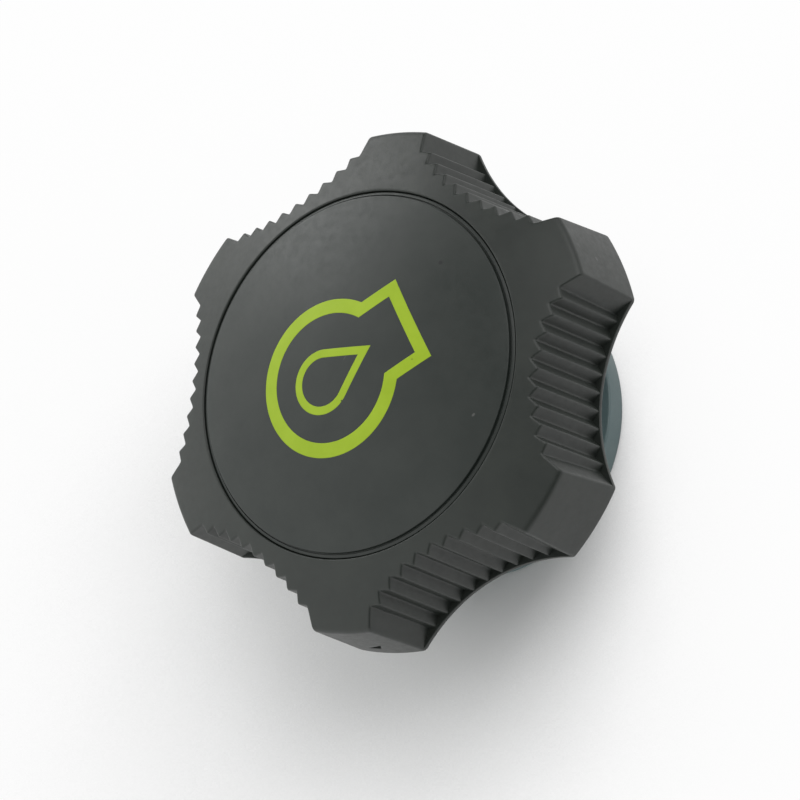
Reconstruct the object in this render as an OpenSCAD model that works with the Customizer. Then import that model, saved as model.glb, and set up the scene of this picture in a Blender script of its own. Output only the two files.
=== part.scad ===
// Oil filler cap: a six-lobed serrated grip over a screw-on closure, with a snap-in face disc.
// Millimetres. The axis is Z. The closure's open end lies at z = 0 and the face looks along +Z.

/* [Grip] */
// Width across opposite lobes at the rear edge
grip_d = 75; // [68:0.5:90]
// Height from the rear edge to the top of the crowned face
grip_h = 21.2; // [19:0.1:30]
// Radius of the crowned face
crown_r = 94; // [80:1:200]
// Draft of the lobe ends, degrees
lobe_draft = 2.1; // [0.5:0.1:4]
// Width of a lobe's end at the face
lobe_w = 9.6; // [7:0.1:13]
// Round along the front edge of each lobe
lobe_round = 1.6; // [0.5:0.1:2.5]
// Number of lobes
lobe_count = 6; // [5:1:7]
// Wall of the moulding behind the serrations
grip_wall = 2.4; // [1.8:0.1:3.2]
// Thickness of the moulding behind the crowned face
grip_roof = 3.2; // [2:0.1:4.5]

/* [Serrations] */
// Distance from the axis to the middle tooth tip, at the face
waist_r = 30.4; // [29.5:0.1:33]
// Radius of the hollow that the tooth tips lie on
hollow_r = 30.8; // [27:0.1:34]
// Number of teeth in each hollow
tooth_count = 9; // [5:2:9]
// Spacing of the teeth along the hollow
tooth_pitch = 2.62; // [2:0.01:2.7]
// Depth of the grooves between the teeth
tooth_depth = 1.15; // [0.5:0.05:1.6]
// Draft of the serrated hollows, degrees
tooth_draft = 2.9; // [1:0.1:4]
// Thickness of the plain edge that closes the grooves at the rear
rear_edge_t = 0.9; // [0.6:0.1:2.5]
// Distance from the axis to the plain edge, at the middle of a hollow
rear_waist_r = 31.2; // [30.8:0.1:33]
// Radius of the plain edge's hollow
rear_hollow_r = 26.5; // [24:0.1:30]

/* [Face disc] */
// Diameter of the recess that takes the disc
recess_d = 54; // [50:0.5:56]
// Gap all round between the disc and its recess
disc_gap = 0.12; // [0.05:0.01:0.3]
// Width of the sunk band round the disc's edge
band_w = 0.7; // [0.4:0.05:1.5]
// Depth of that band below the face
band_depth = 0.35; // [0.2:0.05:0.8]
// Thickness of the disc
disc_t = 2; // [1.5:0.1:2.6]
// Width of the rim that the disc sits on
disc_rim_w = 2; // [1.2:0.1:3]
// Height of that rim at its outer edge, under the sunk band
disc_rim_h = 1.9; // [1.2:0.1:2.4]
// Number of snap pegs under the disc
peg_count = 3; // [2:1:4]
// Diameter of a snap peg
peg_d = 3.6; // [2.5:0.1:4]
// Distance of the pegs from the axis
peg_at_r = 17.6; // [16.5:0.1:18]
// Gap round each peg in its hole
peg_gap = 0.1; // [0.05:0.01:0.3]
// Length of the tapered tip of a peg
peg_tip = 0.8; // [0.4:0.1:1.2]

/* [Pictogram] */
// Outer radius of the vessel's ring
vessel_r = 11.63; // [9:0.01:12.5]
// Line width of the vessel's ring
vessel_line = 2.15; // [1:0.05:2.5]
// Reach of the square neck from the ring's centre
neck_reach = 15.4; // [13:0.1:17]
// Width of the square neck
neck_w = 13.76; // [10:0.01:15]
// Line width of the neck
neck_line = 1.9; // [1:0.05:2.3]
// Radius of the drop's round end
drop_r = 4.81; // [4:0.01:5.5]
// Distance of the round end's centre behind the ring's centre
drop_back = 1.22; // [0:0.01:2]
// Reach of the drop's point from the ring's centre
drop_reach = 8.06; // [7:0.01:8.2]
// Line width of the drop
drop_line = 1.24; // [0.6:0.01:1.6]
// Sideways place of the ring's centre on the face
ring_x = -1.76; // [-3:0.01:3]
// Upward place of the ring's centre on the face
ring_y = -1.47; // [-3:0.01:3]
// Direction of the neck, degrees from +X
neck_turn = 33.7; // [0:0.1:90]
// Depth of the coloured shot in the disc
inlay_depth = 0.5; // [0.3:0.05:0.8]

/* [Closure] */
// How far the closure stands out behind the grip
closure_stand = 19.4; // [15:0.1:30]
// Radius of the internal thread's root
thread_r = 18.2; // [16.5:0.1:18.4]
// Wall of the closure's skirt
skirt_wall = 2.4; // [2:0.1:2.4]
// Height of the bead round the open end
bead_h = 3.8; // [2:0.1:6]
// How far the bead stands out from the skirt
bead_out = 2; // [0.8:0.1:3]
// Round on the bead's edges
bead_round = 0.4; // [0.2:0.05:0.8]
// Thickness of the closure's top
closure_top_t = 3; // [2.4:0.1:3.6]
// Lead-in chamfer at the mouth
mouth_chamfer = 0.8; // [0.3:0.1:1.2]
// Gap between the closure and the grip's hub
hub_gap = 0.2; // [0.1:0.05:0.4]

/* [Web, hub and ribs] */
// Thickness of the web between the hub and the face recess
web_t = 3; // [2.4:0.1:3.4]
// Wall of the hub round the closure
hub_wall = 2.6; // [2:0.1:2.8]
// How far the hub stops short of the rear edge
hub_short = 1; // [0.2:0.1:2]
// Thickness of a rib under the grip
rib_t = 1.8; // [1.2:0.1:2.4]
// How far the ribs stop short of the rear edge
rib_short = 2.5; // [1:0.1:5]

/* [Gasket] */
// Thickness of the gasket
gasket_t = 2.5; // [1.5:0.1:3]
// Width of the gasket's ring
gasket_w = 5.5; // [3:0.1:7]
// Gap between the gasket and the wall of its seat
gasket_gap = 0.15; // [0.05:0.01:0.4]
// Undercut that keeps the gasket in its seat, beyond the thread's root
seat_undercut = 0.4; // [0.2:0.05:0.8]

/* [Cover screws] */
// Number of screws that hold the closure to the grip
screw_count = 3; // [2:1:4]
// Distance of the screws from the axis
screw_at_r = 10.5; // [8:0.1:12]
// Diameter of a screw's shank
screw_d = 3.5; // [3:0.1:4]
// Length of a screw under its head
screw_l = 8.5; // [7:0.1:9.2]
// Diameter of a screw's head
head_d = 6.8; // [5.5:0.1:7.5]
// Height of a screw's head
head_h = 2.2; // [1.5:0.1:2.6]
// Clearance round a screw in the web
screw_gap = 0.25; // [0.1:0.05:0.5]
// Clearance round a screw in its boss
pilot_gap = 0.05; // [0.02:0.01:0.1]
// Clear height between the closure's top and the web, spanned by the bosses
boss_h = 4.2; // [3.8:0.1:6]
// Wall of a boss round its screw
boss_wall = 1.8; // [1.4:0.1:2.2]
// How far a boss reaches into the web
boss_seat = 1; // [0.5:0.1:1.5]
// Clearance round a boss in its seat
boss_gap = 0.1; // [0.05:0.01:0.2]

/* [Hidden] */
$fn = 96;

// Extra length of a cutting solid past the face that it opens
past = 1;
// Space below a screw's tip in its blind hole
tip_gap = 0.5;
// Space between the screw heads and the level of the disc's rim
head_clear = 1;
// Width and depth of the cross in a screw's head
cross_w = 0.9;
cross_l = 3.6;
cross_depth = 1.2;

// Height of the core channel's roof above the web's top
channel_step = 0.1;

// Directions of the first lobe, snap peg and cover screw, degrees from +X
lobe_at = 90;
peg_at = 30;
screw_at = 90;

// Flats along the drop's round end, and facets of the crown, the rings, the bosses and the holes
drop_facets = 48;
crown_facets = 360;
ring_facets = 180;
boss_facets = 48;
hole_facets = 32;

// Heights
rear_z = closure_stand;
crown_z = rear_z + grip_h;
crown_c = crown_z - crown_r;

// Height of the crowned face, or of a surface a given depth below it, at a distance from the axis
function crown_at(r, depth = 0) = crown_c + sqrt(pow(crown_r - depth, 2) - r * r);

// Grip
grip_r = grip_d / 2;
lobe_step = 360 / lobe_count;
hollow_at = lobe_at + lobe_step / 2;
front_r = grip_r - (crown_at(grip_r) - rear_z) * tan(lobe_draft);
hollow_x = waist_r + hollow_r;
rear_hollow_x = rear_waist_r + rear_hollow_r;
serration_z = rear_z + rear_edge_t;

// Face disc and its recess
disc_r = recess_d / 2 - disc_gap;
plateau_r = disc_r - band_w;
ledge_z = crown_at(disc_r, band_depth) - disc_rim_h;
rim_in_r = disc_r - disc_rim_w;

// Hub, web and screw bosses
skirt_r = thread_r + skirt_wall;
hub_in_r = skirt_r + hub_gap;
hub_r = hub_in_r + hub_wall;
web_top_z = ledge_z - head_clear - head_h;
web_z = web_top_z - web_t;
closure_top_z = web_z - boss_h;
closure_depth = closure_top_z - closure_top_t;
pocket_r = hub_r - hub_wall;
seat_r = thread_r + seat_undercut;
channel_z = web_top_z + channel_step;
boss_r = screw_d / 2 + boss_wall;
boss_top_z = web_z + boss_seat;

// Round of the lobe's front edge: its centre lies inside the drafted side and under the crown
round_base = [grip_r - lobe_round * cos(lobe_draft), rear_z - lobe_round * sin(lobe_draft)];
round_dir = [-sin(lobe_draft), cos(lobe_draft)];
round_off = [round_base.x, round_base.y - crown_c];
round_b = round_off * round_dir;
round_c = round_off * round_off - pow(crown_r - lobe_round, 2);
round_t = -round_b + sqrt(round_b * round_b - round_c);
round_at = round_base + round_t * round_dir;
round_side = round_at + lobe_round * [cos(lobe_draft), sin(lobe_draft)];
crown_dir = [round_at.x, round_at.y - crown_c] / norm([round_at.x, round_at.y - crown_c]);
round_top = round_at + lobe_round * crown_dir;

// Serrations: one point for each groove and tooth along the hollow, then the flanks of two lobes
tooth_step = 2 * asin(tooth_pitch / (2 * hollow_r));
lobe_corner_a = lobe_step / 2 - asin(lobe_w / (2 * front_r));
lobe_corner = front_r * [cos(lobe_corner_a), sin(lobe_corner_a)];

function tooth_point(i) =
    let (a = (i - tooth_count) * tooth_step / 2, r = i % 2 == 0 ? hollow_r + tooth_depth : hollow_r)
    [hollow_x - r * cos(a), r * sin(a)];

last_groove = tooth_point(2 * tooth_count);
flank_end = lobe_corner + (lobe_corner - last_groove);
serration_outline = concat(
    [[hollow_x, -flank_end.y], [flank_end.x, -flank_end.y]],
    [for (i = [0 : 2 * tooth_count]) tooth_point(i)],
    [[flank_end.x, flank_end.y], [hollow_x, flank_end.y]]
);

module around(count, r, turn = 0) {
    for (k = [0 : count - 1])
        rotate(turn + k * 360 / count)
            translate([r, 0, 0])
                children();
}

// Half section of the grip before its hollows are cut: crown, drafted side and the round between
module grip_section() {
    side_h = crown_z + past - rear_z;
    difference() {
        intersection() {
            translate([0, crown_c])
                circle(r = crown_r, $fn = crown_facets);
            polygon([
                [0, rear_z],
                [grip_r, rear_z],
                [grip_r - side_h * tan(lobe_draft), rear_z + side_h],
                [0, rear_z + side_h]
            ]);
        }
        polygon([round_at, round_side, [round_side.x + past, round_top.y + past], round_top]);
    }
    translate(round_at)
        circle(r = lobe_round);
}

// One serrated hollow: the tooth outline leans out towards the rear and stops at the plain edge
module serrated_hollow() {
    reach = crown_z - rear_z;
    difference() {
        translate([0, 0, crown_at(waist_r)])
            rotate([0, -tooth_draft, 0])
                translate([0, 0, -2 * reach])
                    linear_extrude(3 * reach)
                        polygon(serration_outline);
        translate([0, -grip_r, serration_z - 2 * reach])
            cube([2 * grip_d, grip_d, 2 * reach]);
    }
}

// Moulding cores under the grip: a channel round the hub that runs up into each lobe
module grip_cores() {
    core_r = front_r - grip_wall;
    core_hollow_r = hollow_r + tooth_depth + grip_wall;
    recess_wall_r = recess_d / 2 + grip_wall;
    difference() {
        union() {
            translate([0, 0, rear_z - past])
                cylinder(r = core_r, h = channel_z - rear_z + past);
            intersection() {
                translate([0, 0, rear_z])
                    difference() {
                        cylinder(r = core_r, h = grip_h);
                        translate([0, 0, -past])
                            cylinder(r = recess_wall_r, h = grip_h + 2 * past);
                    }
                translate([0, 0, crown_c])
                    sphere(r = crown_r - grip_roof - tooth_depth, $fn = crown_facets);
            }
        }
        around(lobe_count, hollow_x, hollow_at)
            translate([0, 0, rear_z - 2 * past])
                cylinder(r = core_hollow_r, h = grip_h + 2 * past);
        translate([0, 0, rear_z - 2 * past])
            cylinder(r = hub_r, h = grip_h);
        // Ribs, left standing on the lines of the lobes and of the hollows
        for (k = [0 : 2 * lobe_count - 1])
            rotate(lobe_at + k * lobe_step / 2)
                translate([0, -rib_t / 2, rear_z + rib_short])
                    cube([grip_r, rib_t, grip_h]);
    }
}

module grip() {
    color([0.17, 0.18, 0.175])
    difference() {
        rotate_extrude($fn = ring_facets)
            grip_section();
        around(lobe_count, 0, hollow_at)
            serrated_hollow();
        // Plain rear edge, hollowed between the lobes
        around(lobe_count, rear_hollow_x, hollow_at)
            translate([0, 0, rear_z - past])
                cylinder(r = rear_hollow_r, h = rear_edge_t + past);
        grip_cores();
        // Hub bore, stopped by the web
        translate([0, 0, rear_z - past])
            cylinder(r = hub_in_r, h = web_z - rear_z + past);
        translate([0, 0, rear_z - past])
            cylinder(r = hub_r + past, h = hub_short + past);
        // Recess for the face disc, with the screw pocket under it
        translate([0, 0, ledge_z])
            cylinder(d = recess_d, h = crown_z - ledge_z + past);
        translate([0, 0, web_top_z])
            cylinder(r = pocket_r, h = crown_z - web_top_z);
        // Holes and boss seats in the web
        around(screw_count, screw_at_r, screw_at) {
            translate([0, 0, web_z - past])
                cylinder(r = screw_d / 2 + screw_gap, h = web_t + 2 * past, $fn = hole_facets);
            translate([0, 0, web_z - past])
                cylinder(r = boss_r + boss_gap, h = boss_seat + past, $fn = boss_facets);
        }
        around(peg_count, peg_at_r, peg_at)
            translate([0, 0, web_z - past])
                cylinder(r = peg_d / 2 + peg_gap, h = web_t + 2 * past, $fn = hole_facets);
    }
}

// Outline of a drop: a round end, closed by the two tangents from its point
module drop_outline(r, point) {
    half = acos(r / point);
    arc_step = (360 - 2 * half) / drop_facets;
    round_end = [for (k = [0 : drop_facets]) r * [cos(half + k * arc_step), sin(half + k * arc_step)]];
    polygon(concat([[point, 0]], round_end));
}

module vessel_outline() {
    difference() {
        union() {
            circle(r = vessel_r, $fn = ring_facets);
            translate([0, -neck_w / 2])
                square([neck_reach, neck_w]);
        }
        circle(r = vessel_r - vessel_line, $fn = ring_facets);
        translate([0, neck_line - neck_w / 2])
            square([neck_reach - neck_line, neck_w - 2 * neck_line]);
    }
}

module drop_ring() {
    reach = drop_reach + drop_back;
    inner_r = drop_r - drop_line;
    translate([-drop_back, 0])
        difference() {
            drop_outline(drop_r, reach);
            drop_outline(inner_r, reach * inner_r / drop_r);
        }
}

// A field of the pictogram as a solid: an outline cut from the top layer of the crowned face
module inlay() {
    intersection() {
        translate([ring_x, ring_y, 0])
            rotate(neck_turn)
                translate([0, 0, ledge_z])
                    linear_extrude(crown_z - ledge_z + past)
                        children();
        difference() {
            translate([0, 0, crown_c])
                sphere(r = crown_r, $fn = crown_facets);
            translate([0, 0, crown_c])
                sphere(r = crown_r - inlay_depth, $fn = crown_facets);
        }
    }
}

module face_disc() {
    color([0.17, 0.18, 0.175])
    difference() {
        union() {
            intersection() {
                translate([0, 0, crown_c])
                    sphere(r = crown_r, $fn = crown_facets);
                translate([0, 0, ledge_z])
                    cylinder(r = plateau_r, h = crown_z - ledge_z, $fn = ring_facets);
            }
            intersection() {
                translate([0, 0, crown_c])
                    sphere(r = crown_r - band_depth, $fn = crown_facets);
                translate([0, 0, ledge_z])
                    cylinder(r = disc_r, h = crown_z - ledge_z, $fn = ring_facets);
            }
        }
        // The hollow underside, parallel to the face
        intersection() {
            translate([0, 0, crown_c])
                sphere(r = crown_r - disc_t, $fn = crown_facets);
            translate([0, 0, ledge_z - past])
                cylinder(r = rim_in_r, h = crown_z - ledge_z, $fn = ring_facets);
        }
        inlay()
            vessel_outline();
        inlay()
            drop_ring();
    }
    peg_end_z = web_z + peg_tip / 2;
    peg_top_z = crown_at(peg_at_r + peg_d / 2, disc_t) + peg_tip;
    color([0.17, 0.18, 0.175])
    around(peg_count, peg_at_r, peg_at) {
        translate([0, 0, peg_end_z + peg_tip])
            cylinder(d = peg_d, h = peg_top_z - peg_end_z - peg_tip, $fn = hole_facets);
        translate([0, 0, peg_end_z])
            cylinder(d1 = peg_d - peg_tip, d2 = peg_d, h = peg_tip, $fn = hole_facets);
    }
}

module symbol_vessel() {
    color([0.63, 0.74, 0.2])
    inlay()
        vessel_outline();
}

module symbol_drop() {
    color([0.63, 0.74, 0.2])
    inlay()
        drop_ring();
}

// Half section of the closure: skirt, top and the bead round its open end
module closure_section() {
    bead_r = skirt_r + bead_out;
    difference() {
        union() {
            square([skirt_r, closure_top_z]);
            square([bead_r - bead_round, bead_h]);
            translate([0, bead_round])
                square([bead_r, bead_h - 2 * bead_round]);
            for (z = [bead_round, bead_h - bead_round])
                translate([bead_r - bead_round, z])
                    circle(r = bead_round, $fn = boss_facets);
        }
        square([thread_r, closure_depth]);
        // Undercut seat for the gasket, at the top of the thread
        translate([0, closure_depth - gasket_t])
            square([seat_r, gasket_t]);
        polygon([
            [thread_r - past, 0],
            [thread_r + mouth_chamfer, 0],
            [thread_r, mouth_chamfer],
            [thread_r - past, mouth_chamfer]
        ]);
    }
}

module closure() {
    color([0.42, 0.47, 0.48])
    difference() {
        union() {
            rotate_extrude($fn = ring_facets)
                closure_section();
            around(screw_count, screw_at_r, screw_at)
                translate([0, 0, closure_top_z - past])
                    cylinder(r = boss_r, h = boss_top_z - closure_top_z + past, $fn = boss_facets);
        }
        around(screw_count, screw_at_r, screw_at)
            translate([0, 0, web_top_z - screw_l - tip_gap])
                cylinder(r = screw_d / 2 + pilot_gap, h = grip_h, $fn = hole_facets);
    }
}

module gasket() {
    gasket_r = seat_r - gasket_gap;
    color([0.09, 0.09, 0.09])
    translate([0, 0, closure_depth - gasket_t])
        difference() {
            cylinder(r = gasket_r, h = gasket_t, $fn = ring_facets);
            translate([0, 0, -past])
                cylinder(r = gasket_r - gasket_w, h = gasket_t + 2 * past, $fn = ring_facets);
        }
}

module cover_screws() {
    color("silver")
    around(screw_count, screw_at_r, screw_at)
        difference() {
            union() {
                translate([0, 0, web_top_z])
                    cylinder(d = head_d, h = head_h, $fn = boss_facets);
                translate([0, 0, web_top_z - screw_l])
                    cylinder(d = screw_d, h = screw_l, $fn = hole_facets);
            }
            for (quarter = [0, 1])
                rotate(90 * quarter)
                    translate([-cross_l / 2, -cross_w / 2, web_top_z + head_h - cross_depth])
                        cube([cross_l, cross_w, cross_depth + past]);
        }
}

grip();
face_disc();
symbol_vessel();
symbol_drop();
closure();
gasket();
cover_screws();
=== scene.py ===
import math

import bmesh
import bpy
import numpy as np
from mathutils import Matrix, Vector


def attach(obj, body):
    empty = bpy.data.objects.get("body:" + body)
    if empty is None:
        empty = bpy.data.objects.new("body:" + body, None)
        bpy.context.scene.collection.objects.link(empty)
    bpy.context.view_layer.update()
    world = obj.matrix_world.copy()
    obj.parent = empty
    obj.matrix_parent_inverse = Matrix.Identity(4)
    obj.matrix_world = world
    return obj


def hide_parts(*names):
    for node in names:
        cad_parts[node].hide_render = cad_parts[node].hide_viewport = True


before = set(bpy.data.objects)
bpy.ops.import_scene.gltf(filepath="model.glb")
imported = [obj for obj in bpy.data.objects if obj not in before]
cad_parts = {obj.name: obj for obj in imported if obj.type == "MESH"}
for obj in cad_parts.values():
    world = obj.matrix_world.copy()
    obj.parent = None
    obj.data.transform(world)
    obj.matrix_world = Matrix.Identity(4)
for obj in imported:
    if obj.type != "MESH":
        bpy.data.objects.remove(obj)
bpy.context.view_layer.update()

# The screw closure: a skirt with a bead round its open end, a coarse thread inside and a closed top.
# It is moulded in a blue-grey plastic with a satin face, and three bosses on its top run up into the grip.
MM = 0.001
closure_skirt_r = 20.6
closure_thread_r = 18.2
closure_seat_r = 18.6
closure_seat_z = 18.51
closure_depth = 21.01
closure_top_z = 24.01
bead_r = 22.6
bead_h = 3.8
bead_round = 0.4
mouth_chamfer = 0.8
boss_r = 3.55
boss_foot_z = 23.6
boss_top_z = 29.21
pilot_r = 1.8
pilot_bottom_z = 22.21
pilot_end_z = 30
screw_count = 3
screw_at_r = 10.5
screw_first_deg = 90
fine_steps = 48
thread_pitch = 4.0
thread_turns = 3.5
thread_from_z = 2.4
thread_bulge = 1.15
closure_grey = (0.125, 0.185, 0.19)
closure_grey_pale = (0.15, 0.21, 0.215)


def rounded(corners, arc_steps=5):
    """An outline whose inner corners, each (across, up, radius), are turned into arcs."""
    points = [np.array(corners[0][:2], float)]
    for i in range(1, len(corners) - 1):
        here = np.array(corners[i][:2], float)
        radius = corners[i][2]
        if radius == 0:
            points.append(here)
            continue
        back = np.array(corners[i - 1][:2], float) - here
        ahead = np.array(corners[i + 1][:2], float) - here
        back /= np.linalg.norm(back)
        ahead /= np.linalg.norm(ahead)
        half = 0.5 * math.acos(float(np.clip(back @ ahead, -1, 1)))
        middle = (back + ahead) / np.linalg.norm(back + ahead)
        centre = here + middle * radius / math.sin(half)
        first = here + back * radius / math.tan(half) - centre
        last = here + ahead * radius / math.tan(half) - centre
        start = math.atan2(first[1], first[0])
        turn = math.atan2(last[1], last[0]) - start
        turn = (turn + math.pi) % (2 * math.pi) - math.pi
        for k in range(arc_steps + 1):
            a = start + turn * k / arc_steps
            points.append(centre + radius * np.array((math.cos(a), math.sin(a))))
    points.append(np.array(corners[-1][:2], float))
    return points


def outward(mesh):
    """Turns the faces of a closed mesh outwards."""
    form = bmesh.new()
    form.from_mesh(mesh)
    bmesh.ops.recalc_face_normals(form, faces=form.faces)
    form.to_mesh(mesh)
    form.free()


def solid(name, points, faces):
    """A closed mesh object from points in millimetres, with its faces turned outwards."""
    mesh = bpy.data.meshes.new(name)
    mesh.from_pydata([tuple(p) for p in np.asarray(points, float) * MM], [], faces)
    outward(mesh)
    made = bpy.data.objects.new(name, mesh)
    bpy.context.scene.collection.objects.link(made)
    return made


def turned(name, outline, steps=180, across=0.0):
    """A closed solid turned from an outline of (radius, height), whose ends are on the axis or meet."""
    points, rings = [], []
    for radius, height in outline:
        if radius < 1e-6:
            rings.append([len(points)])
            points.append((across, 0, height))
            continue
        rings.append(range(len(points), len(points) + steps))
        for k in range(steps):
            a = 2 * math.pi * k / steps
            points.append((across + radius * math.cos(a), radius * math.sin(a), height))
    pairs = list(zip(rings, rings[1:]))
    if len(rings[0]) > 1:
        pairs.append((rings[-1], rings[0]))
    faces = []
    for low, high in pairs:
        for k in range(steps):
            n = (k + 1) % steps
            if len(low) == 1:
                faces.append((low[0], high[n], high[k]))
            elif len(high) == 1:
                faces.append((low[k], low[n], high[0]))
            else:
                faces.append((low[k], low[n], high[n], high[k]))
    return solid(name, points, faces)


def plain(piece):
    """Keeps what a piece's modifiers make as its own mesh, and takes them off."""
    seen = piece.evaluated_get(bpy.context.evaluated_depsgraph_get())
    mesh = bpy.data.meshes.new_from_object(seen)
    piece.modifiers.clear()
    old = piece.data
    piece.data = mesh
    if old.users == 0:
        (bpy.data.meshes if isinstance(old, bpy.types.Mesh) else bpy.data.curves).remove(old)
    return piece


def worked(piece, tool, operation="DIFFERENCE"):
    """Cuts a tool out of a piece, or joins it on, and drops the tool."""
    step = piece.modifiers.new("step", "BOOLEAN")
    step.operation = operation
    step.solver = "MANIFOLD"
    step.object = tool
    plain(piece)
    bpy.data.objects.remove(tool)


def set_round_axis(piece, count, first_deg, weld_mm=0.0, material=None):
    """Copies of a piece set round the axis by a Geometry Nodes tree, kept as one plain mesh."""
    tree = bpy.data.node_groups.new("set_round_axis", "GeometryNodeTree")
    sockets = tree.interface
    sockets.new_socket("Piece", in_out="INPUT", socket_type="NodeSocketGeometry")
    inputs = []
    for label, kind, value in (
        ("Count", "NodeSocketInt", count),
        ("Step", "NodeSocketFloat", 2 * math.pi / count),
        ("First", "NodeSocketFloat", math.radians(first_deg)),
        ("Weld", "NodeSocketFloat", weld_mm * MM),
        ("Finish", "NodeSocketMaterial", material),
    ):
        inputs.append((sockets.new_socket(label, in_out="INPUT", socket_type=kind), value))
    sockets.new_socket("Set", in_out="OUTPUT", socket_type="NodeSocketGeometry")
    nodes, link = tree.nodes, tree.links.new
    given = nodes.new("NodeGroupInput")
    kept = nodes.new("NodeGroupOutput")
    spots = nodes.new("GeometryNodePoints")
    index = nodes.new("GeometryNodeInputIndex")
    angle = nodes.new("ShaderNodeMath")
    angle.operation = "MULTIPLY_ADD"
    turn = nodes.new("ShaderNodeCombineXYZ")
    place = nodes.new("GeometryNodeInstanceOnPoints")
    real = nodes.new("GeometryNodeRealizeInstances")
    weld = nodes.new("GeometryNodeMergeByDistance")
    finish = nodes.new("GeometryNodeSetMaterial")
    link(given.outputs["Count"], spots.inputs["Count"])
    link(index.outputs[0], angle.inputs[0])
    link(given.outputs["Step"], angle.inputs[1])
    link(given.outputs["First"], angle.inputs[2])
    link(angle.outputs[0], turn.inputs["Z"])
    link(spots.outputs[0], place.inputs["Points"])
    link(given.outputs["Piece"], place.inputs["Instance"])
    link(turn.outputs[0], place.inputs["Rotation"])
    link(place.outputs[0], real.inputs[0])
    link(real.outputs[0], weld.inputs["Geometry"])
    link(given.outputs["Weld"], weld.inputs["Distance"])
    link(weld.outputs[0], finish.inputs["Geometry"])
    link(given.outputs["Finish"], finish.inputs["Material"])
    link(finish.outputs[0], kept.inputs[0])
    step = piece.modifiers.new("set_round_axis", "NODES")
    step.node_group = tree
    for socket, value in inputs:
        if value is not None:
            step[socket.identifier] = value
    return plain(piece)


def moulded_finish(name, colour, pale, patch, rough, spread, grain, relief, sheen=0.5, polish=0.0):
    """A moulded plastic: clouded colour, uneven gloss, fine spark grain and edges smoothed by handling.

    The colour's patches, the grain and its relief are in millimetres.
    """
    made = bpy.data.materials.new(name)
    made.use_nodes = True
    nodes, link = made.node_tree.nodes, made.node_tree.links.new
    shader = nodes["Principled BSDF"]
    shader.inputs["Specular IOR Level"].default_value = sheen
    place = nodes.new("ShaderNodeTexCoord")
    cloud = nodes.new("ShaderNodeTexNoise")
    cloud.inputs["Scale"].default_value = 1 / (patch * MM)
    cloud.inputs["Detail"].default_value = 5
    cloud.inputs["Roughness"].default_value = 0.6
    cover = nodes.new("ShaderNodeMapRange")
    cover.inputs["From Min"].default_value = 0.35
    cover.inputs["From Max"].default_value = 0.65
    blend = nodes.new("ShaderNodeMix")
    blend.data_type = "RGBA"
    blend.inputs["A"].default_value = (*colour, 1)
    blend.inputs["B"].default_value = (*pale, 1)
    link(place.outputs["Object"], cloud.inputs["Vector"])
    link(cloud.outputs["Fac"], cover.inputs["Value"])
    link(cover.outputs["Result"], blend.inputs["Factor"])
    link(blend.outputs["Result"], shader.inputs["Base Color"])
    haze = nodes.new("ShaderNodeTexNoise")
    haze.inputs["Scale"].default_value = 6 / (patch * MM)
    haze.inputs["Detail"].default_value = 4
    haze.inputs["Roughness"].default_value = 0.75
    gloss = nodes.new("ShaderNodeMapRange")
    gloss.inputs["From Min"].default_value = 0.3
    gloss.inputs["From Max"].default_value = 0.7
    gloss.inputs["To Min"].default_value = rough - spread
    gloss.inputs["To Max"].default_value = rough + spread
    link(place.outputs["Object"], haze.inputs["Vector"])
    link(haze.outputs["Fac"], gloss.inputs["Value"])
    form = nodes.new("ShaderNodeNewGeometry")
    touched = nodes.new("ShaderNodeMapRange")
    touched.inputs["From Min"].default_value = 0.52
    touched.inputs["From Max"].default_value = 0.62
    touched.inputs["To Max"].default_value = polish
    smoothed = nodes.new("ShaderNodeMath")
    smoothed.operation = "SUBTRACT"
    link(form.outputs["Pointiness"], touched.inputs["Value"])
    link(gloss.outputs["Result"], smoothed.inputs[0])
    link(touched.outputs["Result"], smoothed.inputs[1])
    link(smoothed.outputs[0], shader.inputs["Roughness"])
    spark = nodes.new("ShaderNodeTexNoise")
    spark.inputs["Scale"].default_value = 1 / (grain * MM)
    spark.inputs["Detail"].default_value = 3
    bump = nodes.new("ShaderNodeBump")
    bump.inputs["Strength"].default_value = 1
    bump.inputs["Distance"].default_value = relief * MM
    link(place.outputs["Object"], spark.inputs["Vector"])
    link(spark.outputs["Fac"], bump.inputs["Height"])
    link(bump.outputs["Normal"], shader.inputs["Normal"])
    return made


def mark(finish, at, size, colour, turn_deg=0.0, strength=1.0):
    """A small soft-edged mark on a finish, with its place and its half sizes in millimetres."""
    nodes, link = finish.node_tree.nodes, finish.node_tree.links.new
    under = nodes["Principled BSDF"].inputs["Base Color"].links[0].from_socket
    place = nodes.new("ShaderNodeTexCoord")
    near = nodes.new("ShaderNodeMapping")
    near.vector_type = "TEXTURE"
    near.inputs["Location"].default_value = [c * MM for c in at]
    near.inputs["Rotation"].default_value = (0, 0, math.radians(turn_deg))
    near.inputs["Scale"].default_value = [c * MM for c in size]
    away = nodes.new("ShaderNodeVectorMath")
    away.operation = "LENGTH"
    fade = nodes.new("ShaderNodeMapRange")
    fade.inputs["From Min"].default_value = 0.6
    fade.inputs["From Max"].default_value = 1.2
    fade.inputs["To Min"].default_value = strength
    fade.inputs["To Max"].default_value = 0
    marked = nodes.new("ShaderNodeMix")
    marked.data_type = "RGBA"
    marked.inputs["B"].default_value = (*colour, 1)
    link(place.outputs["Object"], near.inputs["Vector"])
    link(near.outputs["Vector"], away.inputs[0])
    link(away.outputs["Value"], fade.inputs["Value"])
    link(fade.outputs["Result"], marked.inputs["Factor"])
    link(under, marked.inputs["A"])
    link(marked.outputs["Result"], nodes["Principled BSDF"].inputs["Base Color"])


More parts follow.
